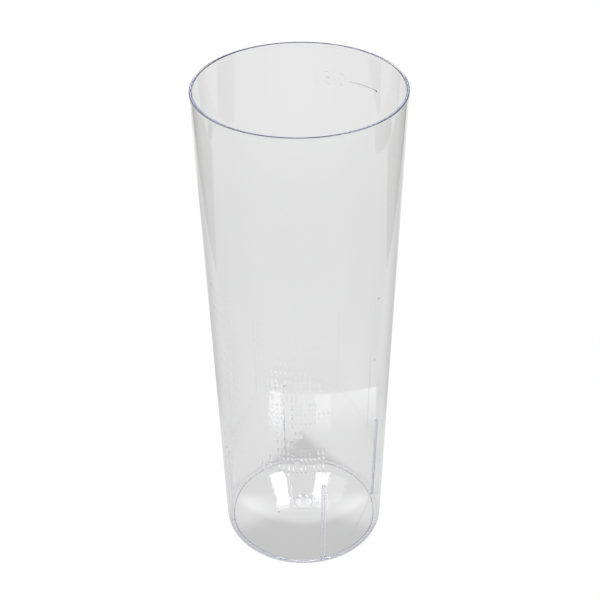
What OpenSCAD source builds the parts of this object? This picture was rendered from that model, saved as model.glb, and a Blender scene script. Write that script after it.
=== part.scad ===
// Long-drink tumbler in clear moulded plastic: one thin, tall, slightly conical
// shell with a crowned floor and four ribs inside that keep stacked cups apart.
// Sizes are in millimetres. The origin is the centre of the ring it stands on,
// and +Z runs up through the mouth. The fill line stands at 0.3 litre.

/* [Body] */
// Height from the table to the lip
cup_h = 153; // [130:1:180]
// Outside diameter at the lip
rim_d = 58; // [56:0.5:70]
// Outside diameter at the table, where the slanting wall would meet it
foot_d = 49.8; // [42:0.1:52]
// Thickness of the side wall
wall = 0.75; // [0.6:0.05:1.3]

/* [Lip] */
// Height of the straight land under the lip
land_h = 1.1; // [0.6:0.1:4]
// How far the land stands out from the slanting wall
land_step = 0.08; // [0.02:0.01:0.3]
// Rounding of the lip's two edges
lip_r = 0.25; // [0.1:0.01:0.29]

/* [Base] */
// Thickness of the floor
floor_t = 1; // [0.8:0.05:2.5]
// Height of the floor's crown above its edge
crown_h = 2.4; // [0.6:0.1:5]
// Height of the floor's underside above the table, at its edge
stand_h = 0.5; // [0.1:0.05:1.5]
// Width of the flat ring that touches the table
stand_w = 0.4; // [0.4:0.1:2]
// How far the ring's inner side slants in for each unit of height
stand_slant = 0.5; // [0.1:0.05:1]
// Rounding of the heel, between the ring and the wall outside
heel_r = 1.5; // [0.3:0.05:2]
// Rounding of the corner between floor and wall inside
corner_r = 0.6; // [0.4:0.1:3]

/* [Gate] */
// Diameter of the round recess under the floor, where the plastic came in
gate_d = 5.8; // [3:0.1:9]
// Depth of the recess
gate_depth = 0.4; // [0.1:0.05:0.5]
// Diameter of the snapped-off stub in the recess
stub_d = 1.1; // [0.6:0.1:2]
// Height of the stub
stub_h = 0.3; // [0.1:0.05:0.5]

/* [Stacking ribs] */
// Number of ribs round the inside of the wall
rib_count = 4; // [3:1:8]
// Width of a rib
rib_w = 1.2; // [0.8:0.1:1.8]
// How far a rib stands in from the wall
rib_depth = 1; // [0.9:0.1:2]
// Rounding between a rib's flat top and its inner face
rib_round = 0.3; // [0.1:0.05:0.5]
// Gap left between the walls of two stacked cups
stack_gap = 0.12; // [0:0.01:0.2]
// Direction of the first rib, counted from +X
rib_turn = 14; // [0:1:90]

/* [Fill line] */
// Depth of the fill line below the lip
mark_drop = 10.5; // [6:0.1:60]
// Length of the line along the wall
mark_len = 10; // [4:0.5:30]
// Height of the line's band
mark_t = 0.5; // [0.3:0.05:1.5]
// How far the line stands out from the wall
mark_out = 0.15; // [0.05:0.01:0.4]
// Direction of the line's middle, counted from +X
mark_turn = 50; // [0:0.5:180]

/* [Hidden] */
// Sides of a full turn, and steps of the small and the wide arcs
$fn = 120;
small_steps = 4;
wide_steps = 8;
rib_sides = 24;

rim_r = rim_d / 2;
foot_r = foot_d / 2;
// Growth of the wall's radius for each unit of height, and the same as an angle
slope = (rim_r - land_step - foot_r) / cup_h;
draft = atan(slope);
lean = 1 / cos(draft);

// The floor's edge and crown are two concentric arcs, one floor thickness apart
floor_z = stand_h + floor_t;
floor_r = inner_r(floor_z);
crown_r = (pow(floor_r, 2) + pow(crown_h, 2)) / (2 * crown_h);
crown_z = floor_z + crown_h - crown_r;
under_r = crown_r - floor_t;
stand_r = foot_r - heel_r - stand_w;

// A stacked cup's heel comes to rest where the wall inside is as wide as its foot
rib_top = (wall + stack_gap) / slope;
mark_z = cup_h - mark_drop;

// Radius of the slanting wall at height z, outside and inside
function outer_r(z) = foot_r + slope * z;
function inner_r(z) = outer_r(z) - wall;

// Points of an arc in the (radius, height) plane, from angle a to angle b
function arc(centre, r, a, b, steps) =
    [for (i = [0:steps]) let (t = a + (b - a) * i / steps) centre + r * [cos(t), sin(t)]];

// Centre of the inside corner: corner_r away from the wall's inner line and from
// the crown's arc, found as the upper crossing of that line and a larger circle
function corner_centre() =
    let (line_r = inner_r(0) - corner_r * lean,
         reach = crown_r + corner_r,
         a = 1 + pow(slope, 2),
         b = 2 * (line_r * slope - crown_z),
         c = pow(line_r, 2) + pow(crown_z, 2) - pow(reach, 2),
         z = (-b + sqrt(pow(b, 2) - 4 * a * c)) / (2 * a))
    [line_r + slope * z, z];

// The heel touches the table and the wall outside
function heel_centre() = [foot_r + slope * heel_r - heel_r * lean, heel_r];

// Half section of the underside, from the middle out to the standing ring
function under_points() =
    let (edge = [stand_r - stand_slant * stand_h, stand_h],
         half = asin(edge[0] / under_r),
         low = crown_z + under_r * cos(half),
         lift = edge[1] - low)
    concat(arc([0, crown_z + lift], under_r, 90, 90 - half, wide_steps), [[stand_r, 0]]);

// Half section of the outside, from the heel up to the edge of the land
function outside_points() =
    let (land_z = cup_h - land_h)
    concat(arc(heel_centre(), heel_r, -90, -draft, small_steps),
           [[outer_r(land_z), land_z - (rim_r - outer_r(land_z))], [rim_r, land_z]]);

// Half section of the lip: a narrow flat between two rounded edges
function lip_points() =
    let (z = cup_h - lip_r)
    concat(arc([rim_r - lip_r, z], lip_r, 0, 90, small_steps),
           arc([inner_r(z) + lip_r * lean, z], lip_r, 90, 180 - draft, small_steps));

// Half section of the inside, from the wall down round the corner to the crown
function inside_points() =
    let (centre = corner_centre(),
         bearing = atan2(centre[1] - crown_z, centre[0]))
    concat(arc(centre, corner_r, -draft, bearing - 180, small_steps),
           arc([0, crown_z], crown_r, bearing, 90, wide_steps));

// Thin shell, turned from its half section
module shell() {
    rotate_extrude()
        polygon(concat(under_points(), outside_points(), lip_points(), inside_points()));
}

// Round recess under the middle of the floor
module gate_recess() {
    translate([0, 0, -1])
        cylinder(d = gate_d, h = stand_h + crown_h + gate_depth + 1);
}

// Stub left where the plastic was snapped off, clear of the table
module gate_stub() {
    translate([0, 0, stand_h + crown_h + gate_depth - stub_h])
        cylinder(d = stub_d, h = stub_h + (floor_t - gate_depth) / 2);
}

// Side outline of a rib: rooted in the floor and the wall, with a flat top that
// the heel of a stacked cup rests on
function rib_side() =
    let (root = stand_h + floor_t / 2,
         nose_r = inner_r(rib_top) - rib_depth,
         shoulder = [nose_r + rib_round, rib_top - rib_round])
    concat([[outer_r(root) - wall / 2, root],
            [outer_r(rib_top) - wall / 2, rib_top]],
           arc(shoulder, rib_round, 90, 180, small_steps),
           [[inner_r(root) - rib_depth, root]]);

// Rib on the inside of the wall: a bar with a round nose that leans with the wall
module stacking_rib() {
    web = rib_depth - rib_w / 2;
    intersection() {
        translate([inner_r(0), 0, 0]) rotate([0, draft, 0])
            linear_extrude(rib_top + rib_depth) {
                translate([-web, 0]) circle(d = rib_w, $fn = rib_sides);
                translate([-web, -rib_w / 2]) square([web + wall / 2, rib_w]);
            }
        rotate([90, 0, 0])
            linear_extrude(2 * rib_w, center = true) polygon(rib_side());
    }
}

module stacking_ribs() {
    for (i = [0:rib_count - 1])
        rotate([0, 0, rib_turn + i * 360 / rib_count]) stacking_rib();
}

// Raised band on the outside of the wall, with slanted upper and lower edges
module fill_line() {
    span = mark_len / outer_r(mark_z) * 180 / PI;
    low = mark_z - mark_t / 2;
    high = mark_z + mark_t / 2;
    nose = outer_r(mark_z) + mark_out;
    rotate([0, 0, mark_turn - span / 2])
        rotate_extrude(angle = span)
            polygon([[outer_r(low) - wall / 2, low], [outer_r(low), low],
                     [nose, mark_z - mark_t / 4], [nose, mark_z + mark_t / 4],
                     [outer_r(high), high], [outer_r(high) - wall / 2, high]]);
}

// The whole cup, one moulding
module tumbler() {
    color([0.84, 0.85, 0.88, 0.5]) {
        difference() {
            shell();
            gate_recess();
        }
        gate_stub();
        stacking_ribs();
        fill_line();
    }
}

tumbler();
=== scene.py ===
"""Clear long-drink tumbler: the looks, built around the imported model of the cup.

The cup is one moulding of clear plastic, so it is one closed surface here: a half section carried round the
axis in bands, whose columns are directions round the cup and whose rows are points of the section. The ribs,
the fill line, the graduation and the rows of small ticks are relief on those bands, so light bends through
them as it does through the real moulding. Lengths are in millimetres until they go into Blender, in metres.
"""
import logging
import math
from dataclasses import dataclass
from enum import Enum
from functools import reduce
from typing import Any, Sequence

import bpy
import numpy as np
from mathutils import Matrix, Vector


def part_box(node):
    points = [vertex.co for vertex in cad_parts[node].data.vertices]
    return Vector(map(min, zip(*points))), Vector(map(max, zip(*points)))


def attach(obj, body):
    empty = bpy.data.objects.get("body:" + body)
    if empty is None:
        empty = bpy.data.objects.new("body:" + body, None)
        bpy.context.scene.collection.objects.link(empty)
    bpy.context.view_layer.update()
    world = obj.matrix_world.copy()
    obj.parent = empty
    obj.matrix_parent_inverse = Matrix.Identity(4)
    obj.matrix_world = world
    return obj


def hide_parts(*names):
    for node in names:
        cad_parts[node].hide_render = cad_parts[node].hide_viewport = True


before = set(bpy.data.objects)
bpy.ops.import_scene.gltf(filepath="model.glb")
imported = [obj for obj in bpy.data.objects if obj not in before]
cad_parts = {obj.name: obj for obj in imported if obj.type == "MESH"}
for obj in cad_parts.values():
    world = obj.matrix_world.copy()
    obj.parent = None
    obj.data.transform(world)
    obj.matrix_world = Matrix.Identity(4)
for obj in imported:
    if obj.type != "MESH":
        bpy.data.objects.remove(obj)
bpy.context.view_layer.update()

NODE = "tumbler"
BODY = "root"
MM = 0.001
PER_CENT = 0.01
FULL_TURN = 2 * math.pi
WHITE = (1.0, 1.0, 1.0, 1.0)
SAME_TO = 6  # decimals to which two directions or heights count as the same

log = logging.getLogger("tumbler")
Row = tuple[Any, Any]  # radius and height, each a number or one value for each column


def arc(centre: Sequence[Any], radius: float, start: Any, end: Any, steps: int) -> list[Row]:
    """Points of an arc in the section: centre plus radius times (cos t, sin t), with t in even steps.

    Args:
        centre: Radius and height of the arc's centre, each a number or one value for each column.
        radius: Radius of the arc.
        start: First angle in radians, a number or one value for each column.
        end: Last angle in radians.
        steps: Number of stretches between the points.

    Returns:
        A list of (radius, height) points, steps + 1 of them.
    """
    turns = [start + (end - start) * i / steps for i in range(steps + 1)]
    return [(centre[0] + radius * np.cos(t), centre[1] + radius * np.sin(t)) for t in turns]


def ease(value: np.ndarray) -> np.ndarray:
    """Smooth step from 0 to 1: 3x^2 - 2x^3 of the value held between 0 and 1."""
    x = np.clip(value, 0.0, 1.0)
    return x * x * (3.0 - 2.0 * x)


def within(away: np.ndarray, half: float, soft: float) -> np.ndarray:
    """1 up to a distance from a middle and 0 past it, easing off over a short stretch round it."""
    return ease((half + soft / 2 - away) / soft)


def mirrored(values: np.ndarray) -> np.ndarray:
    """Rising places on both sides of a middle: the values' negatives, last to first, and then the values."""
    return np.concatenate([-values[::-1], values])


def turn_apart(turn: np.ndarray, centres: np.ndarray) -> np.ndarray:
    """Angle from each centre to each direction, at most half a turn either way, with the centres last."""
    return (turn[..., None] - centres + math.pi) % FULL_TURN - math.pi


def fill_gaps(values: Sequence[float], widest: float) -> np.ndarray:
    """Adds evenly spaced values wherever two neighbours lie further apart than allowed.

    Args:
        values: The values that have to be there, in any order.
        widest: The widest gap that may stay.

    Returns:
        All values, rising, with no two the same.
    """
    fixed = np.unique(np.round(np.asarray(values, dtype=float), SAME_TO))
    parts = [np.linspace(low, high, max(1, math.ceil((high - low) / widest)), endpoint=False)
             for low, high in zip(fixed[:-1], fixed[1:])]
    return np.concatenate(parts + [fixed[-1:]])


def soften(points: Sequence[Row], radius: float, steps: int = 3) -> list[Row]:
    """Rounds the inner corners of an open outline with small curves.

    Each corner P between A and B becomes (1-u)^2 A + 2u(1-u) P + u^2 B, with A and B a radius away from P
    along its two sides, or a third of the side if that is less.

    Args:
        points: Corners of the outline, in order.
        radius: Distance from a corner at which its curve starts.
        steps: Number of stretches in each curve.

    Returns:
        The outline with its ends kept and each other corner rounded.
    """
    corners = np.asarray(points, dtype=float)
    out = [tuple(corners[0])]
    for before, here, after in zip(corners[:-2], corners[1:-1], corners[2:]):
        ends = []
        for other in (before, after):
            side = other - here
            length = np.linalg.norm(side)
            ends.append(here + side / length * min(radius, length / 3))
        for u in np.linspace(0.0, 1.0, steps + 1):
            out.append(tuple((1 - u) ** 2 * ends[0] + 2 * u * (1 - u) * here + u * u * ends[1]))
    out.append(tuple(corners[-1]))
    return out


def put(name: str, data: bpy.types.ID) -> bpy.types.Object:
    """Makes an object of a mesh, a camera or a light, and links it to the scene.

    Args:
        name: Name of the object.
        data: What it shows.

    Returns:
        The object.
    """
    thing = bpy.data.objects.new(name, data)
    bpy.context.scene.collection.objects.link(thing)
    return thing


def stand(thing: bpy.types.Object, right: np.ndarray, up: np.ndarray, back: np.ndarray,
          place: np.ndarray) -> None:
    """Stands a camera or a light that looks along its own -Z.

    Args:
        thing: The camera or the light.
        right: Direction of its X axis.
        up: Direction of its Y axis.
        back: Direction of its Z axis.
        place: Where it stands, in metres.
    """
    matrix = np.eye(4)
    matrix[:3, :4] = np.stack([right, up, back, place], axis=1)
    thing.matrix_world = Matrix(matrix.tolist())


@dataclass
class CupSection:
    """The cup's half section: the same sizes as the solid's, with the outer ones read from the frame."""

    height: float
    rim_r: float
    foot_r: float = 24.9
    wall: float = 0.75
    land_h: float = 1.1
    land_step: float = 0.08
    lip_r: float = 0.25
    floor_t: float = 1.0
    crown_h: float = 2.4
    stand_h: float = 0.5
    stand_w: float = 0.4
    stand_slant: float = 0.5
    heel_r: float = 1.5
    corner_r: float = 0.6
    gate_r: float = 2.9
    gate_depth: float = 0.4
    stub_r: float = 0.55
    stub_h: float = 0.3
    edge_r: float = 0.06
    gate_edge_r: float = 0.25
    gate_clear: float = 1.1
    heel_steps: int = 7
    under_steps: int = 10

    @classmethod
    def from_frame(cls) -> "CupSection":
        """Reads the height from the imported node's box, and the lip's radius from its narrowest reach."""
        low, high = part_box(NODE)
        return cls(height=(high.z - low.z) / MM, rim_r=min(-low.x, -low.y, high.x, high.y) / MM)

    @property
    def slope(self) -> float:
        """Growth of the wall's radius for each unit of height."""
        return (self.rim_r - self.land_step - self.foot_r) / self.height

    @property
    def draft(self) -> float:
        """Lean of the wall in radians."""
        return math.atan(self.slope)

    @property
    def lean(self) -> float:
        """How much longer the wall is than its height."""
        return 1.0 / math.cos(self.draft)

    @property
    def floor_z(self) -> float:
        """Height of the floor's upper face at its edge."""
        return self.stand_h + self.floor_t

    @property
    def crown_r(self) -> float:
        """Radius of the sphere that the floor's upper face lies on."""
        return (self.inner_r(self.floor_z) ** 2 + self.crown_h ** 2) / (2 * self.crown_h)

    @property
    def crown_z(self) -> float:
        """Height of that sphere's centre, far below the table."""
        return self.floor_z + self.crown_h - self.crown_r

    def outer_r(self, z: Any) -> Any:
        """Outer radius of the wall at height z."""
        return self.foot_r + self.slope * z

    def inner_r(self, z: Any) -> Any:
        """Inner radius of the wall at height z."""
        return self.outer_r(z) - self.wall

    def corner_centre(self, proud: np.ndarray) -> tuple[np.ndarray, np.ndarray]:
        """Centre of the rounded inside corner, in each column.

        It lies a corner radius from the wall's inner line, which a rib moves inwards, and from the floor's
        sphere, so it is the upper crossing of a leaning line and a circle.

        Args:
            proud: How far the wall's inner line is moved inwards in each column.

        Returns:
            Radius and height of the centre, one value for each column.
        """
        line_r = self.inner_r(0.0) - proud - self.corner_r * self.lean
        reach = self.crown_r + self.corner_r
        a = 1 + self.slope ** 2
        b = 2 * (line_r * self.slope - self.crown_z)
        c = line_r ** 2 + self.crown_z ** 2 - reach ** 2
        z = (-b + np.sqrt(b * b - 4 * a * c)) / (2 * a)
        return line_r + self.slope * z, z

    def bottom_rows(self, proud: np.ndarray, crown_steps: int = 12, corner_steps: int = 7) -> list[Row]:
        """Rows of the floor's upper face and of the corner, from just off the middle up to the wall.

        Args:
            proud: How far ribs move the wall inwards at its foot, for each column.
            crown_steps: Number of stretches along the floor.
            corner_steps: Number of stretches round the corner.

        Returns:
            (radius, height) rows.
        """
        centre = self.corner_centre(proud)
        bearing = np.arctan2(centre[1] - self.crown_z, centre[0])
        crown = arc((0.0, self.crown_z), self.crown_r, math.pi / 2, bearing, crown_steps)
        corner = arc(centre, self.corner_r, bearing - math.pi, -self.draft, corner_steps)
        return crown[1:] + corner[1:]

    def lip_rows(self, steps: int = 5) -> list[Row]:
        """Rows over the lip: a rounded edge, a narrow flat and another rounded edge.

        Args:
            steps: Number of stretches round each edge.

        Returns:
            (radius, height) rows, from the inside over to the outside.
        """
        z = self.height - self.lip_r
        inner = (self.inner_r(z) + self.lip_r * self.lean, z)
        outer = (self.rim_r - self.lip_r, z)
        return (arc(inner, self.lip_r, math.pi - self.draft, math.pi / 2, steps)
                + arc(outer, self.lip_r, math.pi / 2, 0.0, steps))

    def land_rows(self) -> list[Row]:
        """Rows of the straight land's lower edge and the little step in to the slanting wall.

        Returns:
            (radius, height) rows, from the top down.
        """
        low = self.height - self.land_h
        step = self.rim_r - self.outer_r(low)
        wall_z = low - self.lip_r - step
        return soften([(self.rim_r, low + self.lip_r), (self.rim_r, low), (self.outer_r(low), low - step),
                       (self.outer_r(wall_z), wall_z)], self.edge_r)

    def under_rows(self) -> list[Row]:
        """Rows from the heel round the standing ring, under the crowned floor and into the gate's recess.

        Returns:
            (radius, height) rows, from the wall's foot in to the middle of the stub.
        """
        heel = arc((self.foot_r + self.slope * self.heel_r - self.heel_r * self.lean, self.heel_r),
                   self.heel_r, -self.draft, -math.pi / 2, self.heel_steps)
        stand_r = self.foot_r - self.heel_r - self.stand_w
        edge = (stand_r - self.stand_slant * self.stand_h, self.stand_h)
        under_r = self.crown_r - self.floor_t
        half = math.asin(edge[0] / under_r)
        centre_z = edge[1] - under_r * math.cos(half)
        crown = arc((0.0, centre_z), under_r, math.pi / 2 - half, math.pi / 2, self.under_steps)
        top = self.stand_h + self.crown_h
        roof = top + self.gate_depth
        recess = [(self.gate_r, top), (self.gate_r, roof), (self.stub_r, roof),
                  (self.stub_r, roof - self.stub_h), (self.stub_r / 3, roof - self.stub_h)]
        inner = [point for point in crown if point[0] > self.gate_r * self.gate_clear]
        ring = soften([heel[-1], (stand_r, 0.0), *inner[:2]], self.edge_r)[1:-1]
        return heel + ring + soften([*inner[1:], *recess], self.gate_edge_r)


class Side(Enum):
    """The face of the wall that a relief stands on."""

    INSIDE = "inside"
    OUTSIDE = "outside"


@dataclass
class Relief:
    """Something raised on the wall. Each kind says which columns and rows it needs, and how far out it is."""

    section: CupSection
    side: Side = Side.OUTSIDE

    def turns(self) -> list[float]:
        """Directions, in radians, at which the surface needs a column."""
        raise NotImplementedError

    def heights(self) -> list[float]:
        """Heights at which the surface needs a row."""
        raise NotImplementedError

    def proud(self, turn: np.ndarray, z: np.ndarray) -> np.ndarray:
        """How far the relief stands out at each direction and height."""
        raise NotImplementedError


@dataclass
class StackingRibs(Relief):
    """Four bars with round noses inside the wall, which a stacked cup's heel comes to rest on."""

    side: Side = Side.INSIDE
    count: int = 4
    width: float = 1.2
    depth: float = 1.0
    stack_gap: float = 0.12
    first_turn: float = math.radians(14.0)
    root_r: float = 0.16
    shoulder_r: float = 0.3
    shoulder_steps: int = 6
    nose_steps: int = 6
    root_places: tuple[float, ...] = (0.004, 0.1, 0.3, 0.6, 1.0, 1.6)
    guard: float = 0.15
    drop: float = 0.01

    @property
    def top(self) -> float:
        """Height at which the wall inside is as wide as a stacked cup's foot."""
        return (self.section.wall + self.stack_gap) / self.section.slope

    @property
    def arm(self) -> float:
        """Radius at which the ribs' width is measured."""
        return self.section.inner_r(self.top / 2)

    def axes(self) -> np.ndarray:
        """Directions of the ribs' middles."""
        return self.first_turn + FULL_TURN * np.arange(self.count) / self.count

    def turns(self) -> list[float]:
        """Columns across each rib, close together where its side drops to the wall.

        Returns:
            Directions of the columns, all ribs' in one list.
        """
        half = self.width / 2
        nose = half * np.sin(np.linspace(0.0, math.pi / 2, self.nose_steps + 1))
        root = half + np.array(self.root_places) * self.root_r
        across = mirrored(np.concatenate([nose, root])) / self.arm
        return [float((axis + offset) % FULL_TURN) for axis in self.axes() for offset in across]

    def heights(self) -> list[float]:
        """Rows round the shoulder at a rib's top: equal steps of a quarter circle, and more to end the bend.

        Returns:
            Heights of the rows, rising.
        """
        turns = np.linspace(0.0, math.pi / 2, self.shoulder_steps + 1)
        shoulder = self.top - self.shoulder_r + self.shoulder_r * np.sin(turns)
        start = self.top - self.shoulder_r
        return [start - self.guard, *shoulder, self.top + self.drop, self.top + self.guard]

    def proud(self, turn: np.ndarray, z: np.ndarray) -> np.ndarray:
        """A half circle across the nose, a straight side, a small curve at its root, and a flat top.

        Args:
            turn: Directions of the columns, as a row.
            z: Heights of the rows, as a column.

        Returns:
            Depth of the ribs on the grid.
        """
        apart = np.abs(turn_apart(turn, self.axes())).min(axis=-1) * self.arm
        half = self.width / 2
        nose = self.depth - half + np.sqrt(np.clip(half ** 2 - apart ** 2, 0.0, None))
        out = np.clip(1.0 - (apart - half) / self.root_r, 0.0, 1.0)
        root = self.root_r * (1.0 - np.sqrt(1.0 - out ** 2))
        across = np.where(apart <= half, nose, root)
        rise = np.clip(z - (self.top - self.shoulder_r), 0.0, self.shoulder_r)
        shoulder = self.depth - self.shoulder_r + np.sqrt(self.shoulder_r ** 2 - rise ** 2)
        across, shoulder = np.broadcast_arrays(across, shoulder)
        return np.where(z <= self.top, np.minimum(across, shoulder), 0.0)


@dataclass
class FillLine(Relief):
    """Short raised line at the height that holds 0.3 litre."""

    drop: float = 10.5
    length: float = 10.0
    band: float = 0.5
    out: float = 0.15
    middle: float = math.radians(50.0)
    end: float = 0.2
    band_places: tuple[float, ...] = (0.25, 0.375, 0.5, 0.7)

    @property
    def z(self) -> float:
        """Height of the line's middle."""
        return self.section.height - self.drop

    @property
    def arm(self) -> float:
        """Outer radius at the line."""
        return self.section.outer_r(self.z)

    def turns(self) -> list[float]:
        """Columns at the line's ends, where it reaches its full height, and just outside.

        Returns:
            Directions of the columns, rising.
        """
        half = self.length / 2
        across = np.array([half - self.end, half - self.end / 2, half, half + self.end])
        return list(self.middle + mirrored(across) / self.arm)

    def heights(self) -> list[float]:
        """Rows at the band's edges, at the edges of its flat, and just outside to end the bend."""
        return list(self.z + self.band * mirrored(np.array(self.band_places)))

    def proud(self, turn: np.ndarray, z: np.ndarray) -> np.ndarray:
        """Product of two smooth steps: one in from the band's edges, one in from the line's ends.

        Args:
            turn: Directions of the columns, as a row.
            z: Heights of the rows, as a column.

        Returns:
            Height of the line on the grid.
        """
        along = ease((self.length / 2 - np.abs(turn - self.middle) * self.arm) / self.end)
        across = ease((self.band / 2 - np.abs(z - self.z)) / (self.band / 4))
        return self.out * along * across


class Stroke(Enum):
    """Kinds of pen strokes, each given by a few numbers in units of its sign's box."""

    RING = "closed oval: its middle across and up, and its half width and half height"
    BOW = "oval that is open on its left, given in the same way"
    BAR = "upright line: its place across, its lower end and its upper end"


@dataclass
class Graduation(Relief):
    """The plain amount "0.3 l" beside the fill line, written in raised strokes."""

    line: FillLine | None = None
    tall: float = 4.0
    wide: float = 2.3
    pen: float = 0.42
    slant: float = 0.1
    gap: float = 1.0
    out: float = 0.12
    step: float = 0.19
    soft: float = 0.2
    kerning: float = 0.75
    lead: float = 1.2
    bow_opens: float = -0.55
    far: float = 99.0
    spare: int = 2

    def glyphs(self) -> list[tuple[float, float, list[tuple[Stroke, tuple[float, ...]]]]]:
        """The signs of the amount, each with its place along the wall.

        Returns:
            Signs in reading order, as seen from outside: where each starts, its width and its strokes.
        """
        signs = [
            (self.wide, [(Stroke.RING, (0.5, 0.5, 0.5, 0.5))]),
            (self.pen, [(Stroke.BAR, (0.5, 0.0, 0.06))]),
            (self.wide, [(Stroke.BOW, (0.42, 0.74, 0.5, 0.26)), (Stroke.BOW, (0.42, 0.26, 0.56, 0.26))]),
            (self.pen, [(Stroke.BAR, (0.5, 0.0, 1.0))]),
        ]
        out, at = [], 0.0
        for index, (width, strokes) in enumerate(signs):
            out.append((at, width, strokes))
            at += width + (2 * self.gap if index == len(signs) - 2 else self.gap * self.kerning)
        return out

    @property
    def length(self) -> float:
        """Length of the whole amount along the wall."""
        start, width, _ = self.glyphs()[-1]
        return start + width

    @property
    def start_turn(self) -> float:
        """Direction at which the first sign starts, a little past the line's end."""
        return self.line.middle + (self.line.length / 2 + self.gap * self.lead) / self.line.arm

    def turns(self) -> list[float]:
        """Close columns under the signs."""
        count = round((self.length + 2 * self.spare * self.step) / self.step)
        return list(self.start_turn + (np.arange(count + 1) - self.spare) * self.step / self.line.arm)

    def heights(self) -> list[float]:
        """Close rows under the signs."""
        half = self.tall / 2 + self.soft + self.step / 2
        return list(self.line.z + np.arange(-half, half + self.step / 2, self.step))

    def away_from(self, stroke: Stroke, box: tuple[float, ...], width: float, x: np.ndarray,
                  y: np.ndarray) -> np.ndarray:
        """Distance from a stroke's middle line.

        For a bar it is the distance from a straight piece of line. For an oval it is how far the point, in
        units of the half axes, lies from the unit circle, times the mean of the two half axes.

        Args:
            stroke: Kind of the stroke.
            box: Its numbers, in units of its sign's box.
            width: Width of the sign, over the pen's outside.
            x: Places along the wall, from the sign's left edge.
            y: Places up the wall, from the sign's foot.

        Returns:
            The distance at each place.
        """
        across, height = width - self.pen, self.tall - self.pen
        x, y = x - self.pen / 2, y - self.pen / 2
        if stroke is Stroke.BAR:
            at, low, high = box
            return np.hypot(x - at * across, y - np.clip(y, low * height, high * height))
        middle_x, middle_y, half_x, half_y = (part * side for part, side in zip(box, (across, height) * 2))
        dx, dy = (x - middle_x) / half_x, (y - middle_y) / half_y
        short, long = min(half_x, half_y), max(half_x, half_y)
        away = np.abs(np.hypot(dx, dy) - 1.0) * (short + long) / 2
        return np.where(dx > self.bow_opens, away, self.far) if stroke is Stroke.BOW else away

    def proud(self, turn: np.ndarray, z: np.ndarray) -> np.ndarray:
        """Raised where a point lies within half a pen's width of a stroke, easing off over a short distance.

        Args:
            turn: Directions of the columns, as a row.
            z: Heights of the rows, as a column.

        Returns:
            Height of the signs on the grid.
        """
        y = z - self.line.z + self.tall / 2
        x = (turn - self.start_turn) * self.line.arm - self.slant * y
        x, y = np.broadcast_arrays(x, y)
        nearest = np.full(x.shape, self.far)
        for start, width, strokes in self.glyphs():
            for stroke, box in strokes:
                nearest = np.minimum(nearest, self.away_from(stroke, box, width, x - start, y))
        return self.out * within(nearest, self.pen / 2, self.soft)


@dataclass
class TickRows(Relief):
    """Rows of small plain ticks low on the front of the wall, in groups of different lengths."""

    top: float = 97.5
    rows: int = 17
    pitch: float = 3.45
    tall: float = 2.1
    tick: float = 0.55
    tick_pitch: float = 1.35
    middle: float = math.radians(-116.0)
    out: float = 0.055
    least_out: float = 0.018
    soft: float = 0.28
    longest: int = 32
    shortest: int = 12
    first_group: tuple[int, int] = (3, 8)
    next_groups: tuple[int, int] = (4, 9)
    last_group: int = 2
    seed: int = 7

    @property
    def arm(self) -> float:
        """Outer radius at the middle row."""
        return self.section.outer_r(self.top - self.rows * self.pitch / 2)

    def pattern(self) -> np.ndarray:
        """Which ticks are there: one row of true and false for each line, centred, with a gap between groups.

        Returns:
            A table with a row for each line and a column for each place along it.
        """
        draw = np.random.default_rng(self.seed)
        table = np.zeros((self.rows, self.longest), dtype=bool)
        for number, row in enumerate(table):
            length = int(draw.integers(self.shortest, self.longest)) if number else self.longest
            first = (self.longest - length) // 2
            row[first:first + length] = True
            at = first + int(draw.integers(*self.first_group))
            while at < first + length - self.last_group:
                row[at] = False
                at += int(draw.integers(*self.next_groups))
        return table

    def centres(self) -> np.ndarray:
        """Directions of the tick places' middles."""
        places = np.arange(self.longest) - (self.longest - 1) / 2
        return self.middle + places * self.tick_pitch / self.arm

    def line_z(self) -> np.ndarray:
        """Heights of the lines' middles, from the top down."""
        return self.top - self.tall / 2 - np.arange(self.rows) * self.pitch

    def edges(self, length: float) -> np.ndarray:
        """Six places across a tick: where it reaches its full height, its edges, and just outside them."""
        return mirrored(length / 2 + np.array([-self.soft / 2, self.soft / 2, self.soft]))

    def turns(self) -> list[float]:
        """Six columns across each tick."""
        across = self.edges(self.tick) / self.arm
        return [float(turn % FULL_TURN) for centre in self.centres() for turn in centre + across]

    def heights(self) -> list[float]:
        """Six rows across each line."""
        return [float(z) for centre in self.line_z() for z in centre + self.edges(self.tall)]

    def proud(self, turn: np.ndarray, z: np.ndarray) -> np.ndarray:
        """Full height inside a tick that is there, nothing outside it, and lower towards the left.

        Args:
            turn: Directions of the columns, as a row.
            z: Heights of the rows, as a column.

        Returns:
            Height of the ticks on the grid.
        """
        apart = np.abs(turn_apart(turn, self.centres()) * self.arm)
        away = np.abs(z[..., None] - self.line_z())
        place, line = apart.argmin(axis=-1), away.argmin(axis=-1)
        beside = within(apart.min(axis=-1), self.tick / 2, self.soft)
        above = within(away.min(axis=-1), self.tall / 2, self.soft)
        there = self.pattern()[line, place]
        out = self.least_out + (self.out - self.least_out) * ease(place / (self.longest - 1))
        return out * beside * above * there


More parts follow.
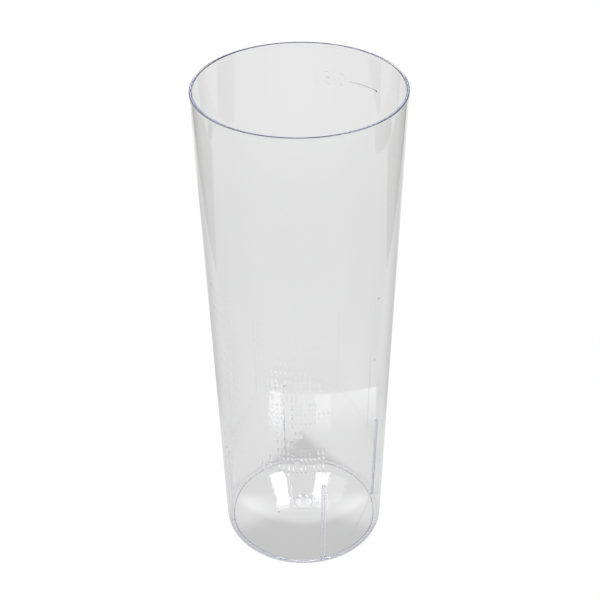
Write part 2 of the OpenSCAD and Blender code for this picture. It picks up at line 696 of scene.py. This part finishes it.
def zip_rows(above: np.ndarray, over: np.ndarray, below: np.ndarray, under: np.ndarray) -> np.ndarray:
    """Triangles between two closed rings of points with different directions.

    Going round both rings at once, each step to a ring's next point makes a triangle with the last point that
    was passed on the other ring. Where two points share a direction, the upper ring steps first.

    Args:
        above: Directions of the upper ring's points, rising within one turn.
        over: Their numbers in the mesh.
        below: Directions of the lower ring's points.
        under: Their numbers in the mesh.

    Returns:
        Triangles as rows of three numbers, wound like the grid's faces.
    """
    next_above = np.append(above[1:], above[0] + FULL_TURN)
    next_below = np.append(below[1:], below[0] + FULL_TURN)
    passed_below = np.searchsorted(np.append(below, below + FULL_TURN), next_above, side="left") - 1
    passed_above = np.searchsorted(np.append(above, above + FULL_TURN), next_below, side="right") - 1
    upper = np.stack([over, under[passed_below % len(below)], np.roll(over, -1)], axis=-1)
    lower = np.stack([over[passed_above % len(above)], under, np.roll(under, -1)], axis=-1)
    return np.concatenate([upper, lower])


@dataclass
class Band:
    """Part of the surface on a grid: the directions of its columns, and each point's radius and height."""

    turn: np.ndarray
    radius: np.ndarray
    z: np.ndarray

    @classmethod
    def of(cls, turn: np.ndarray, rows: Sequence[Row]) -> "Band":
        """Makes a band of rows, whose values are numbers or one value for each column."""
        radius, z = (np.array([row[part] + 0 * turn for row in rows]) for part in (0, 1))
        return cls(turn, radius, z)

    def points(self) -> np.ndarray:
        """Points of the band, row by row: (r cos t, r sin t, z)."""
        x, y = self.radius * np.cos(self.turn), self.radius * np.sin(self.turn)
        return np.stack([x, y, self.z], axis=-1).reshape(-1, 3)

    def quads(self, first: int) -> tuple[np.ndarray, np.ndarray]:
        """Faces between the band's rows.

        Args:
            first: Number of the band's first point in the mesh.

        Returns:
            The points' numbers, row by row, and the faces as rows of four of them.
        """
        index = first + np.arange(self.radius.size).reshape(self.radius.shape)
        beyond = np.roll(index, -1, axis=1)
        return index, np.stack([index[:-1], index[1:], beyond[1:], beyond[:-1]], axis=-1).reshape(-1, 4)


@dataclass
class Tumbler:
    """The whole moulding: one closed surface over the section's rows, with the columns that are needed."""

    section: CupSection
    reliefs: list[Relief]
    edge_turn: float = math.radians(0.55)
    wall_turn: float = math.radians(1.0)
    outer_turn: float = math.radians(1.5)
    floor_turn: float = math.radians(2.5)
    floor_rows: int = 8
    floor_reach: float = 20.0
    split_z: float = 115.0
    widest_rise: float = 14.0
    wall_start: float = 3.4
    guard: float = 0.12
    name: str = "tumbler_shell"

    def on(self, side: Side) -> list[Relief]:
        """The reliefs on one face of the wall."""
        return [relief for relief in self.reliefs if relief.side is side]

    def columns(self, side: Side, widest: float, low: float = 0.0, high: float = math.inf) -> np.ndarray:
        """Directions of the columns between two heights: those the reliefs there need, and more between them.

        Args:
            side: The face of the wall.
            widest: The widest angle that may lie between two columns.
            low: The lower height.
            high: The upper height.

        Returns:
            The directions, rising within one turn.
        """
        needed = [turn % FULL_TURN for relief in self.on(side)
                  if any(low < z < high for z in relief.heights()) for turn in relief.turns()]
        return fill_gaps([0.0, *needed, FULL_TURN], widest)[:-1]

    def relief_on(self, side: Side, turn: np.ndarray, z: np.ndarray) -> np.ndarray:
        """Sum of the reliefs on one face of the wall.

        Args:
            side: The face of the wall.
            turn: Directions of the columns.
            z: Heights of the rows.

        Returns:
            How far the face is moved, with a row for each height and a column for each direction.
        """
        out = np.zeros((len(z), len(turn)))
        for relief in self.on(side):
            out = out + relief.proud(turn[None, :], z[:, None])
        return out

    def wall_heights(self, side: Side, low: float, high: float) -> np.ndarray:
        """Heights of the wall's rows on one face, strictly between two heights.

        A row lies close to each end, so that the smooth shading of a curve doesn't spread over the wall.

        Args:
            side: The face of the wall.
            low: The lower height.
            high: The upper height.

        Returns:
            The heights, rising.
        """
        low_guard, high_guard = low + self.guard, high - self.guard
        needed = [z for relief in self.on(side) for z in relief.heights() if low_guard < z < high_guard]
        return fill_gaps([low_guard, *needed, high_guard], self.widest_rise)

    def bands(self) -> list[Band]:
        """The whole surface but its two poles, as bands with the columns that each of them needs.

        They run from the middle of the floor out to its edge, up the wall inside, over the lip and the land,
        down the wall outside in two bands, round the heel and the standing ring, and in under the floor. The
        wall's radius is the inner line's less the relief inside, and the outer line's plus the relief outside.

        Returns:
            The bands, from the floor's middle round to the underside's.
        """
        cup = self.section
        even, close = (fill_gaps([0.0, FULL_TURN], gap)[:-1] for gap in (self.floor_turn, self.edge_turn))
        turn = self.columns(Side.INSIDE, self.wall_turn)
        start = np.array([self.wall_start])
        floor, foot = (cup.bottom_rows(self.relief_on(Side.INSIDE, at, start)[0]) for at in (even, turn))
        edge, under = [*cup.lip_rows(), *cup.land_rows()], cup.under_rows()
        ring = [row for row in under if row[0] > self.floor_reach]

        z = np.concatenate([start, self.wall_heights(Side.INSIDE, self.wall_start, edge[0][1])])
        radius = cup.inner_r(z)[:, None] - self.relief_on(Side.INSIDE, turn, z)
        bands = [Band.of(even, floor[:self.floor_rows]),
                 Band.of(turn, [*foot[self.floor_rows:], *zip(radius, z)]),
                 Band.of(close, edge)]

        heights = self.wall_heights(Side.OUTSIDE, under[0][1], edge[-1][1])[::-1]
        for low, high in ((self.split_z, cup.height), (0.0, self.split_z)):
            around = self.columns(Side.OUTSIDE, self.outer_turn, low, high)
            z = heights[(heights > low) & (heights <= high)]
            radius = cup.outer_r(z)[:, None] + self.relief_on(Side.OUTSIDE, around, z)
            bands.append(Band.of(around, [*zip(radius, z)]))
        return [*bands, Band.of(close, ring), Band.of(even, under[len(ring):])]

    def faces(self, bands: Sequence[Band]) -> tuple[np.ndarray, np.ndarray]:
        """Faces of the whole surface: the bands' own, those between two bands, and a fan at each pole.

        Args:
            bands: The bands in order. The two poles' points come after all of theirs.

        Returns:
            Faces of four corners, and faces of three.
        """
        starts = np.cumsum([0, *(band.radius.size for band in bands)])
        grids = [band.quads(start) for start, band in zip(starts, bands)]
        index = [numbers for numbers, _ in grids]
        top, bottom = int(starts[-1]), int(starts[-1]) + 1
        first, last = index[0][0], index[-1][-1]
        triangles = [np.stack([np.full_like(first, top), first, np.roll(first, -1)], axis=-1),
                     np.stack([last, np.full_like(last, bottom), np.roll(last, -1)], axis=-1)]
        triangles += [zip_rows(above.turn, i[-1], below.turn, j[0])
                      for above, below, i, j in zip(bands, bands[1:], index, index[1:])]
        return np.concatenate([quads for _, quads in grids]), np.concatenate(triangles)

    def mesh(self) -> bpy.types.Mesh:
        """Joins the bands into one closed mesh.

        Returns:
            The mesh, in metres, with its faces pointing outwards.
        """
        bands = self.bands()
        quads, triangles = self.faces(bands)
        poles = [(0.0, 0.0, z) for z in (self.section.floor_z + self.section.crown_h, bands[-1].z[-1, 0])]
        points = np.concatenate([*(band.points() for band in bands), poles]) * MM
        corners = np.concatenate([quads.ravel(), triangles.ravel()]).astype(np.int32)
        sizes = np.repeat([4, 3], [len(quads), len(triangles)]).astype(np.int32)
        mesh = bpy.data.meshes.new(self.name)
        mesh.vertices.add(len(points))
        mesh.vertices.foreach_set("co", points.astype(np.float32).ravel())
        mesh.loops.add(len(corners))
        mesh.loops.foreach_set("vertex_index", corners)
        mesh.polygons.add(len(sizes))
        mesh.polygons.foreach_set("loop_start", (np.cumsum(sizes) - sizes).astype(np.int32))
        mesh.polygons.foreach_set("loop_total", sizes)
        mesh.polygons.foreach_set("use_smooth", np.ones(len(sizes), dtype=bool))
        mesh.update(calc_edges=True)
        mesh.validate()
        return mesh

    def build(self, material: bpy.types.Material) -> None:
        """Makes the piece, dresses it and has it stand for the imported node.

        Args:
            material: The finish of the whole moulding.
        """
        piece = put(self.name, self.mesh())
        piece.data.materials.append(material)
        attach(piece, BODY)
        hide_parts(NODE)
        triangles = sum(len(face.vertices) - 2 for face in piece.data.polygons)
        log.info("%s: %d triangles, for node %s", piece.name, triangles, NODE)


class Socket:
    """One output of a shader node, or a number, with the arithmetic that a pattern needs."""

    def __init__(self, bench: "Bench", source: Any) -> None:
        """Wraps a node's output, or a plain number."""
        self.bench = bench
        self.source = source

    def _with(self, operation: str, *others: Any) -> "Socket":
        """Adds one Math node for an operation on this value and others."""
        return self.bench.add("ShaderNodeMath", {"operation": operation}, dict(enumerate((self, *others))))

    def __add__(self, other: Any) -> "Socket":
        """Sum."""
        return self._with("ADD", other)

    __radd__ = __add__

    def __sub__(self, other: Any) -> "Socket":
        """Difference."""
        return self._with("SUBTRACT", other)

    def __rsub__(self, other: Any) -> "Socket":
        """Difference with a plain number first."""
        return Socket(self.bench, other)._with("SUBTRACT", self)

    def __mul__(self, other: Any) -> "Socket":
        """Product."""
        return self._with("MULTIPLY", other)

    __rmul__ = __mul__

    def turn_from(self, ahead: Any) -> "Socket":
        """Angle in radians whose tangent is this value over the one ahead."""
        return self._with("ARCTAN2", ahead)

    def size(self) -> "Socket":
        """Value without its sign."""
        return self._with("ABSOLUTE")

    def least(self, other: Any) -> "Socket":
        """The smaller of two values."""
        return self._with("MINIMUM", other)

    def most(self, other: Any) -> "Socket":
        """The larger of two values."""
        return self._with("MAXIMUM", other)

    def between(self, low: float, high: float) -> "Socket":
        """0 below low, 1 above high, and a smooth step from one to the other."""
        return self.bench.add("ShaderNodeMapRange", {"interpolation_type": "SMOOTHSTEP"},
                              {"Value": self, "From Min": low, "From Max": high}, "Result")

    def fading(self, low: float, high: float) -> "Socket":
        """1 below low, 0 above high, and a smooth step from one to the other."""
        return 1 - self.between(low, high)

    def from_to(self, start: float, end: float, soft: float = 1.0) -> "Socket":
        """1 between two values and 0 outside them, with a smooth step round each."""
        return self.between(start - soft, start + soft) * self.fading(end - soft, end + soft)


class Bench:
    """Lays nodes in one node tree."""

    def __init__(self, tree: bpy.types.NodeTree) -> None:
        """Starts on an empty tree."""
        self.tree = tree
        tree.nodes.clear()

    def add(self, kind: str, settings: dict[str, Any] | None = None, values: dict[Any, Any] | None = None,
            output: str | int = 0) -> Socket:
        """Adds a node, its settings first and then its sockets.

        Args:
            kind: Type name of the node.
            settings: Its properties, such as a Math node's operation.
            values: Socket names or numbers, each with a value or a Socket to link.
            output: Name or number of the output that is wanted.

        Returns:
            The wanted output.
        """
        node = self.tree.nodes.new(kind)
        for name, value in (settings or {}).items():
            setattr(node, name, value)
        for key, value in (values or {}).items():
            source = value.source if isinstance(value, Socket) else value
            if isinstance(source, bpy.types.NodeSocket):
                self.tree.links.new(source, node.inputs[key])
            else:
                node.inputs[key].default_value = source
        return Socket(self, node.outputs[output] if node.outputs else None)

    def measure(self, operation: str, *vectors: Any) -> Socket:
        """Adds a Vector Math node whose result is one number."""
        return self.add("ShaderNodeVectorMath", {"operation": operation}, dict(enumerate(vectors)), "Value")

    def mix(self, factor: Socket, first: Any, second: Any) -> Socket:
        """Mixes two colours, each a Socket or four numbers."""
        return self.add("ShaderNodeMix", {"data_type": "RGBA"}, {"Factor": factor, 6: first, 7: second}, 2)

    def shine(self, colour: Any) -> None:
        """Ends a material that only glows, with a colour that is a Socket or four numbers."""
        glow = self.add("ShaderNodeEmission", {}, {"Color": colour, "Strength": 1.0})
        self.add("ShaderNodeOutputMaterial", {}, {"Surface": glow})


@dataclass(frozen=True)
class Noise:
    """Soft random pattern in space."""

    per_metre: float
    detail: float
    roughness: float
    distortion: float = 0.0

    def at(self, place: Socket) -> Socket:
        """Value of the pattern at a place, from 0 to 1."""
        values = {"Vector": place, "Scale": self.per_metre, "Detail": self.detail,
                  "Roughness": self.roughness, "Distortion": self.distortion}
        return place.bench.add("ShaderNodeTexNoise", {}, values, "Fac")


@dataclass(frozen=True)
class ClearPlastic:
    """Clear polished polystyrene: a bright skin, faint moulding waves, a few specks, and a violet depth."""

    name: str = "clear_polystyrene"
    ior: float = 1.59
    tint: tuple[float, float, float] = (1.0, 1.0, 1.0)
    scuff: float = 0.02
    depth_colour: tuple[float, float, float] = (0.6, 0.65, 0.94)
    depth_density: float = 9.0
    waves: Noise = Noise(per_metre=50.0, detail=1.5, roughness=0.4)
    wave_height: float = 0.01
    smears: Noise = Noise(per_metre=90.0, detail=4.0, roughness=0.6, distortion=0.5)
    smear_levels: tuple[float, float] = (0.45, 0.8)
    specks: tuple[tuple[float, float, float], ...] = (
        (21.4, -17.2, 96.9), (20.8, -17.1, 75.3), (-8.1, -4.4, 3.56))
    speck_r: float = 0.2
    speck_colour: tuple[float, float, float] = (0.25, 0.24, 0.22)
    wear: float = 0.25
    worn_up_to: tuple[float, float] = (0.9, 1.4)
    worn_from: tuple[float, float] = (22.78, 22.84)

    def worn(self, place: Socket) -> Socket:
        """How worn the plastic is at a place: from 0 to 1, low down on the outside of the foot.

        Args:
            place: The place, in metres.

        Returns:
            The wear there.
        """
        bench = place.bench
        height = bench.add("ShaderNodeSeparateXYZ", {}, {"Vector": place}, "Z")
        flat = bench.add("ShaderNodeVectorMath", {"operation": "MULTIPLY"}, {0: place, 1: (1.0, 1.0, 0.0)})
        low = height.fading(*(z * MM for z in self.worn_up_to))
        return low * bench.measure("LENGTH", flat).between(*(radius * MM for radius in self.worn_from))

    def build(self) -> bpy.types.Material:
        """Lays the shader: patterns on Object coordinates drive base colour, roughness and bump alone.

        Returns:
            The material.
        """
        material = bpy.data.materials.new(self.name)
        material.use_nodes = True
        bench = Bench(material.node_tree)
        place = bench.add("ShaderNodeTexCoord", output="Object")
        away = [bench.measure("DISTANCE", place, tuple(at * MM for at in speck)) for speck in self.specks]
        dot = reduce(Socket.least, away).fading(self.speck_r * MM, self.speck_r * 2 * MM)
        bump = bench.add("ShaderNodeBump", {}, {"Strength": 1.0, "Distance": self.wave_height * MM,
                                               "Height": self.waves.at(place)})
        smeared = self.smears.at(place).between(*self.smear_levels)
        surface = bench.add("ShaderNodeBsdfPrincipled", {}, {
            "Base Color": bench.mix(dot, (*self.tint, 1.0), (*self.speck_colour, 1.0)),
            "Roughness": smeared * self.scuff + self.worn(place) * self.wear,
            "IOR": self.ior,
            "Transmission Weight": 1.0,
            "Normal": bump,
        })
        depth = bench.add("ShaderNodeVolumeAbsorption", {}, {"Color": (*self.depth_colour, 1.0),
                                                            "Density": self.depth_density})
        bench.add("ShaderNodeOutputMaterial", {}, {"Surface": surface, "Volume": depth})
        return material


@dataclass(frozen=True)
class PhotoCamera:
    """The photograph's view: 600 pixels square, taken from close by, looking down at the cup."""

    image_width: float = 600.0
    focal_pixels: float = 1281.6
    elevation: float = math.radians(35.07)
    distance: float = 375.7
    roll: float = math.radians(-0.67)
    aim_x: float = -0.45
    aim_z: float = 84.57
    sensor: float = 36.0
    clip: tuple[float, float] = (10.0, 20000.0)
    name: str = "photo_camera"

    def build(self) -> None:
        """Sets the camera up at its distance from the point it aims at, turned by its roll."""
        back = np.array([0.0, -math.cos(self.elevation), math.sin(self.elevation)])
        right = np.array([1.0, 0.0, 0.0])
        up = np.cross(back, right)
        turned_right = math.cos(self.roll) * right + math.sin(self.roll) * up
        turned_up = -math.sin(self.roll) * right + math.cos(self.roll) * up
        place = (np.array([self.aim_x, 0.0, self.aim_z]) + back * self.distance) * MM
        data = bpy.data.cameras.new(self.name)
        data.sensor_width = self.sensor
        data.lens = self.focal_pixels / self.image_width * self.sensor
        data.clip_start, data.clip_end = (reach * MM for reach in self.clip)
        camera = put(self.name, data)
        stand(camera, turned_right, turned_up, back, place)
        bpy.context.scene.camera = camera


@dataclass(frozen=True)
class SoftBox:
    """A rectangular studio light that faces the cup, given by where it stands in the cup's sky."""

    name: str
    bearing: float
    elevation: float
    across: float
    tall: float
    glow: float
    distance: float = 1600.0

    def build(self) -> None:
        """Places the light by its bearing from +X and its elevation, with its size as angles, in degrees."""
        bearing, elevation, across, tall = (
            math.radians(angle) for angle in (self.bearing, self.elevation, self.across, self.tall))
        level = math.cos(elevation)
        back = np.array([level * math.cos(bearing), level * math.sin(bearing), math.sin(elevation)])
        right = np.array([-math.sin(bearing), math.cos(bearing), 0.0])
        reach = self.distance * MM
        data = bpy.data.lights.new(self.name, "AREA")
        data.shape = "RECTANGLE"
        data.size = 2 * reach * math.tan(across / 2) * level
        data.size_y = 2 * reach * math.tan(tall / 2)
        data.energy = self.glow * data.size * data.size_y * math.pi
        light = put(self.name, data)
        stand(light, right, np.cross(back, right), back, back * reach)
        light.visible_camera = False


@dataclass(frozen=True)
class Spot:
    """A point of the table in its shader, in millimetres: to the cup's right, behind it, and its distance."""

    x: Socket
    y: Socket
    reach: Socket


@dataclass(frozen=True)
class Studio:
    """A white table under soft light: a pale sweep all round, a dim ceiling, and soft boxes behind the cup.

    A clear cup shows nothing but its surroundings, so the table has the soft shades of a real one: a shadow
    behind the cup, a shaded foot, patches of light in front, and an end to the white sheet at both sides.
    Lengths on the table are in millimetres.
    """

    table_half: float = 3000.0
    floor_z: float = -0.2
    table_z: float = -0.1
    sheet: float = 0.738
    rise_starts: tuple[float, float] = (0.0, 60.0)
    # Painted light: the sheet brightens far behind the cup.
    far_light: float = 0.085
    far: tuple[float, float] = (140.0, 310.0)
    beyond: tuple[float, float, float] = (0.16, 0.145, 0.12)
    back_strips: tuple[float, float, float, float] = (150.0, 262.0, 66.0, 0.5)
    side_fall: tuple[float, float, float] = (110.0, 330.0, 0.28)
    slant_right: tuple[float, float, float] = (0.57, 0.82, 130.0)
    slant_left: tuple[float, float, float] = (-0.79, 0.61, 255.0)
    slant_front: float = 90.0
    room_soft: float = 3.0
    room_ends: tuple[float, float] = (310.0, 430.0)
    # Painted light: the sheet brightens a little in front of the cup.
    front_light: float = 0.15
    front_ends: tuple[float, float] = (100.0, 180.0)
    # Painted contact shadow: the sheet darkens close in front of the heel.
    heel_shadow: float = -0.1
    heel_side: tuple[float, float] = (-5.0, 10.0)
    heel_ends: tuple[float, float] = (28.0, 50.0)
    crossings: tuple[float, float] = (2.2, 2.8)
    pool: float = 0.65
    pool_edge: float = 0.5
    pool_reach: tuple[float, float] = (80.0, 104.5)
    pool_draw: float = 13.0
    pool_turn: tuple[float, float] = (-40.0, 101.0)
    bar_left: tuple[float, float, float] = (-38.3, -23.3, 1.0)
    bar_right: tuple[float, float, float] = (14.0, 32.2, 0.6)
    shadow: float = 0.31
    shadow_tip: float = 43.0
    shadow_soft: tuple[float, float] = (0.0, 9.0)
    shadow_starts: tuple[float, float] = (8.0, 18.0)
    shadow_spread: float = 0.8
    diagonal: float = 0.18
    diagonal_turn: tuple[float, float, float, float] = (22.0, 34.0, 46.0, 68.0)
    diagonal_reach: tuple[float, float] = (52.0, 76.0)
    foot_ends: tuple[float, float] = (23.5, 25.0)
    foot_level: float = 0.77
    # Painted light at both sides under the cup, and painted shade at its back.
    foot_side_light: float = 0.2
    sides_across: tuple[float, float] = (8.0, 20.0)
    sides_start: tuple[float, float] = (-12.0, -1.0)
    sides_end: tuple[float, float] = (2.0, 10.0)
    foot_back_shade: float = 0.09
    back_starts: tuple[float, float] = (0.0, 9.0)
    foot_shade: float = 0.19
    foot_line: tuple[float, float] = (-6.8, 0.0225)
    foot_line_soft: tuple[float, float] = (-2.0, 2.5)
    sweep: float = 0.75
    ceiling: float = 0.22
    ceiling_starts: tuple[float, float] = (0.72, 0.80)
    bounces: int = 128
    boxes: tuple[SoftBox, ...] = (
        SoftBox("back_left", 97.6, 36.0, 4.8, 17.0, 3.8),
        SoftBox("back_right", 84.2, 36.0, 4.3, 16.0, 3.2),
        SoftBox("back_right_glow", 80.5, 36.0, 9.0, 14.0, 0.6),
        SoftBox("back_bar", 90.0, 45.0, 20.0, 4.0, 1.3),
    )

    def flat(self, name: str, z: float) -> tuple[bpy.types.Object, Bench]:
        """A large flat sheet with an empty shader.

        Args:
            name: Name of the sheet.
            z: Its height in millimetres.

        Returns:
            The sheet and a bench on its shader.
        """
        half, z = self.table_half * MM, z * MM
        mesh = bpy.data.meshes.new(name)
        corners = [(-half, -half, z), (half, -half, z), (half, half, z), (-half, half, z)]
        mesh.from_pydata(corners, [], [(0, 1, 2, 3)])
        material = bpy.data.materials.new(name)
        material.use_nodes = True
        mesh.materials.append(material)
        sheet = put(name, mesh)
        return sheet, Bench(material.node_tree)

    def white_floor(self) -> None:
        """Lays the floor that the camera sees past the cup: plain white."""
        sheet, bench = self.flat("floor_white", self.floor_z)
        bench.shine(WHITE)
        sheet.visible_diffuse = sheet.visible_glossy = sheet.visible_transmission = False

    def behind(self, at: Spot) -> Socket:
        """The sheet's level with painted light and shade: even close by, rising with distance behind the cup
        and a little in front, with a painted contact shadow close in front of the heel.

        Args:
            at: The point of the table.

        Returns:
            The level there.
        """
        ahead = 0 - at.y
        # far and near are painted light, and close is a painted contact shadow in front of the heel.
        far = at.y.between(*self.rise_starts) * at.reach.between(*self.far) * self.far_light
        near = ahead.between(*self.rise_starts) * at.reach.fading(*self.front_ends) * self.front_light
        close = at.reach.fading(*self.heel_ends) * ahead.between(*self.heel_side) * self.heel_shadow
        return far + near + close + self.sheet

    def beside(self, at: Spot) -> Socket:
        """How much of the room shows: in a strip behind the cup at each side, and past two slanting lines.

        A line is given by its normal and its distance from the middle, and counts only far out and not far
        back. All of it ends far from the cup, where only a low view would still meet it.

        Args:
            at: The point of the table.

        Returns:
            0 on the sheet, up to 1 where only the room shows.
        """
        side, soft = at.x.size(), self.room_soft
        near, far, back, depth = self.back_strips
        start, end, fall = self.side_fall
        strips = side.from_to(near, far, soft) * at.y.between(back - soft, back + soft) * depth
        room = strips * (1 - self.crossed(at)) + side.between(start, end) * fall
        for across, along, away in (self.slant_right, self.slant_left):
            past = (at.x * across + at.y * along).between(away - soft, away + soft)
            front = at.y.fading(self.slant_front, self.slant_front + 2 * soft)
            room = room + past * side.between(far, far + 2 * soft) * front
        return room * at.reach.fading(*self.room_ends)

    def pools(self, at: Spot) -> Socket:
        """Light thrown on the table in front: a pool that ends in a crisp arc, and two brighter bars in it.

        A bar is the part of the pool between two directions, in degrees from straight ahead. Towards the
        right the arc draws in with the square of that direction. The light is there only for rays that haven't
        crossed the cup, so it shows in the front wall and not again in the far one.

        Args:
            at: The point of the table.

        Returns:
            The level that the light adds there.
        """
        low, high = self.pool_reach
        heading = at.x.turn_from(0 - at.y) * math.degrees(1.0)
        right = heading.most(0.0) * PER_CENT
        reach = at.reach + right * right * self.pool_draw
        inside = reach.fading(high - self.pool_edge, high + self.pool_edge) * (1 - self.crossed(at))
        light = inside * heading.from_to(*self.pool_turn) * reach.between(low, high) * self.pool
        for start, end, strength in (self.bar_left, self.bar_right):
            bar = inside * heading.from_to(start, end) * reach.between(low, (low + high) / 2)
            light = light + bar * strength
        return light

    def crossed(self, at: Spot) -> Socket:
        """1 for rays that have gone through more than one wall of the cup, and 0 for the others."""
        return at.x.bench.add("ShaderNodeLightPath", output="Transmission Depth").between(*self.crossings)

    def shade(self, at: Spot) -> Socket:
        """The shadow behind the cup, which narrows to a tip, and a shaded diagonal at each side of it.

        Args:
            at: The point of the table.

        Returns:
            The share of the light that is taken away there.
        """
        depth = self.shadow_tip - at.y - at.x.size() * (1 / self.shadow_spread)
        tip = depth.between(*self.shadow_soft) * at.y.between(*self.shadow_starts) * self.shadow
        start, full, falling, end = self.diagonal_turn
        heading = at.x.turn_from(at.y).size() * math.degrees(1.0)
        diagonal = heading.between(start, full) * heading.fading(falling, end)
        return tip + diagonal * at.reach.between(*self.diagonal_reach) * self.diagonal

    def under_foot(self, at: Spot) -> Socket:
        """The painted light and shade under the cup: lighter behind a curved line, more so at both sides, and
        darker before it as painted shade.

        Args:
            at: The point of the table.

        Returns:
            The level there.
        """
        start, bend = self.foot_line
        past = at.y - at.x * at.x * bend - start
        # Painted light at both sides, a little painted shade at the back, and painted shade before the curved
        # line.
        sides = at.x.size().between(*self.sides_across) * at.y.between(*self.sides_start)
        pale = sides * at.y.fading(*self.sides_end) * self.foot_side_light
        back = at.y.between(*self.back_starts) * self.foot_back_shade
        return self.foot_level + pale - back - past.fading(*self.foot_line_soft) * self.foot_shade

    def shaded_table(self) -> None:
        """Lays the table that shows in the plastic: the sheet with its shades, and the room at both sides."""
        sheet, bench = self.flat("table_shaded", self.table_z)
        place = bench.add("ShaderNodeTexCoord", output="Object")
        place = bench.add("ShaderNodeVectorMath", {"operation": "SCALE"}, {0: place, "Scale": 1.0 / MM})
        x, y = (bench.add("ShaderNodeSeparateXYZ", {}, {"Vector": place}, axis) for axis in "XY")
        at = Spot(x, y, bench.measure("LENGTH", place))
        outside = at.reach.between(*self.foot_ends)
        level = (self.behind(at) + self.pools(at)) * (1 - self.shade(at)) * outside
        level = level + self.under_foot(at) * (1 - outside)
        grey = bench.add("ShaderNodeCombineColor", {}, {0: level, 1: level, 2: level})
        bench.shine(bench.mix(self.beside(at), grey, (*self.beyond, 1.0)))
        sheet.visible_camera = False

    def air(self) -> None:
        """Sets the surroundings: a pale sweep, a dim ceiling above it, and plain white for the camera."""
        world = bpy.data.worlds.new("studio_air")
        world.use_nodes = True
        bench = Bench(world.node_tree)
        heading = bench.add("ShaderNodeTexCoord", output="Generated")
        rise = bench.add("ShaderNodeSeparateXYZ", {}, {"Vector": heading}, "Z")
        level = self.sweep - rise.between(*self.ceiling_starts) * (self.sweep - self.ceiling)
        seen = bench.add("ShaderNodeLightPath", output="Is Camera Ray")
        shown = {"Factor": seen, "A": level, "B": 1.0}
        level = bench.add("ShaderNodeMix", {"data_type": "FLOAT"}, shown, "Result")
        glow = bench.add("ShaderNodeBackground", {}, {"Color": WHITE, "Strength": level})
        bench.add("ShaderNodeOutputWorld", {}, {"Surface": glow})
        bpy.context.scene.world = world

    def build(self) -> None:
        """Sets the floor, the table, the surroundings and the lights, and lets light travel far in plastic."""
        self.white_floor()
        self.shaded_table()
        self.air()
        for box in self.boxes:
            box.build()
        scene = bpy.context.scene
        scene.view_settings.view_transform = "Standard"
        cycles = scene.cycles
        cycles.max_bounces = cycles.transmission_bounces = cycles.glossy_bounces = self.bounces
        log.info("studio: %d soft boxes", len(self.boxes))


def main() -> None:
    """Builds the cup, its camera and its studio."""
    logging.basicConfig(level=logging.INFO, format="%(name)s: %(message)s")
    PhotoCamera().build()
    section = CupSection.from_frame()
    line = FillLine(section)
    reliefs = [StackingRibs(section), line, Graduation(section, line=line), TickRows(section)]
    Tumbler(section, reliefs).build(ClearPlastic().build())
    Studio().build()


if __name__ == "__main__":
    main()
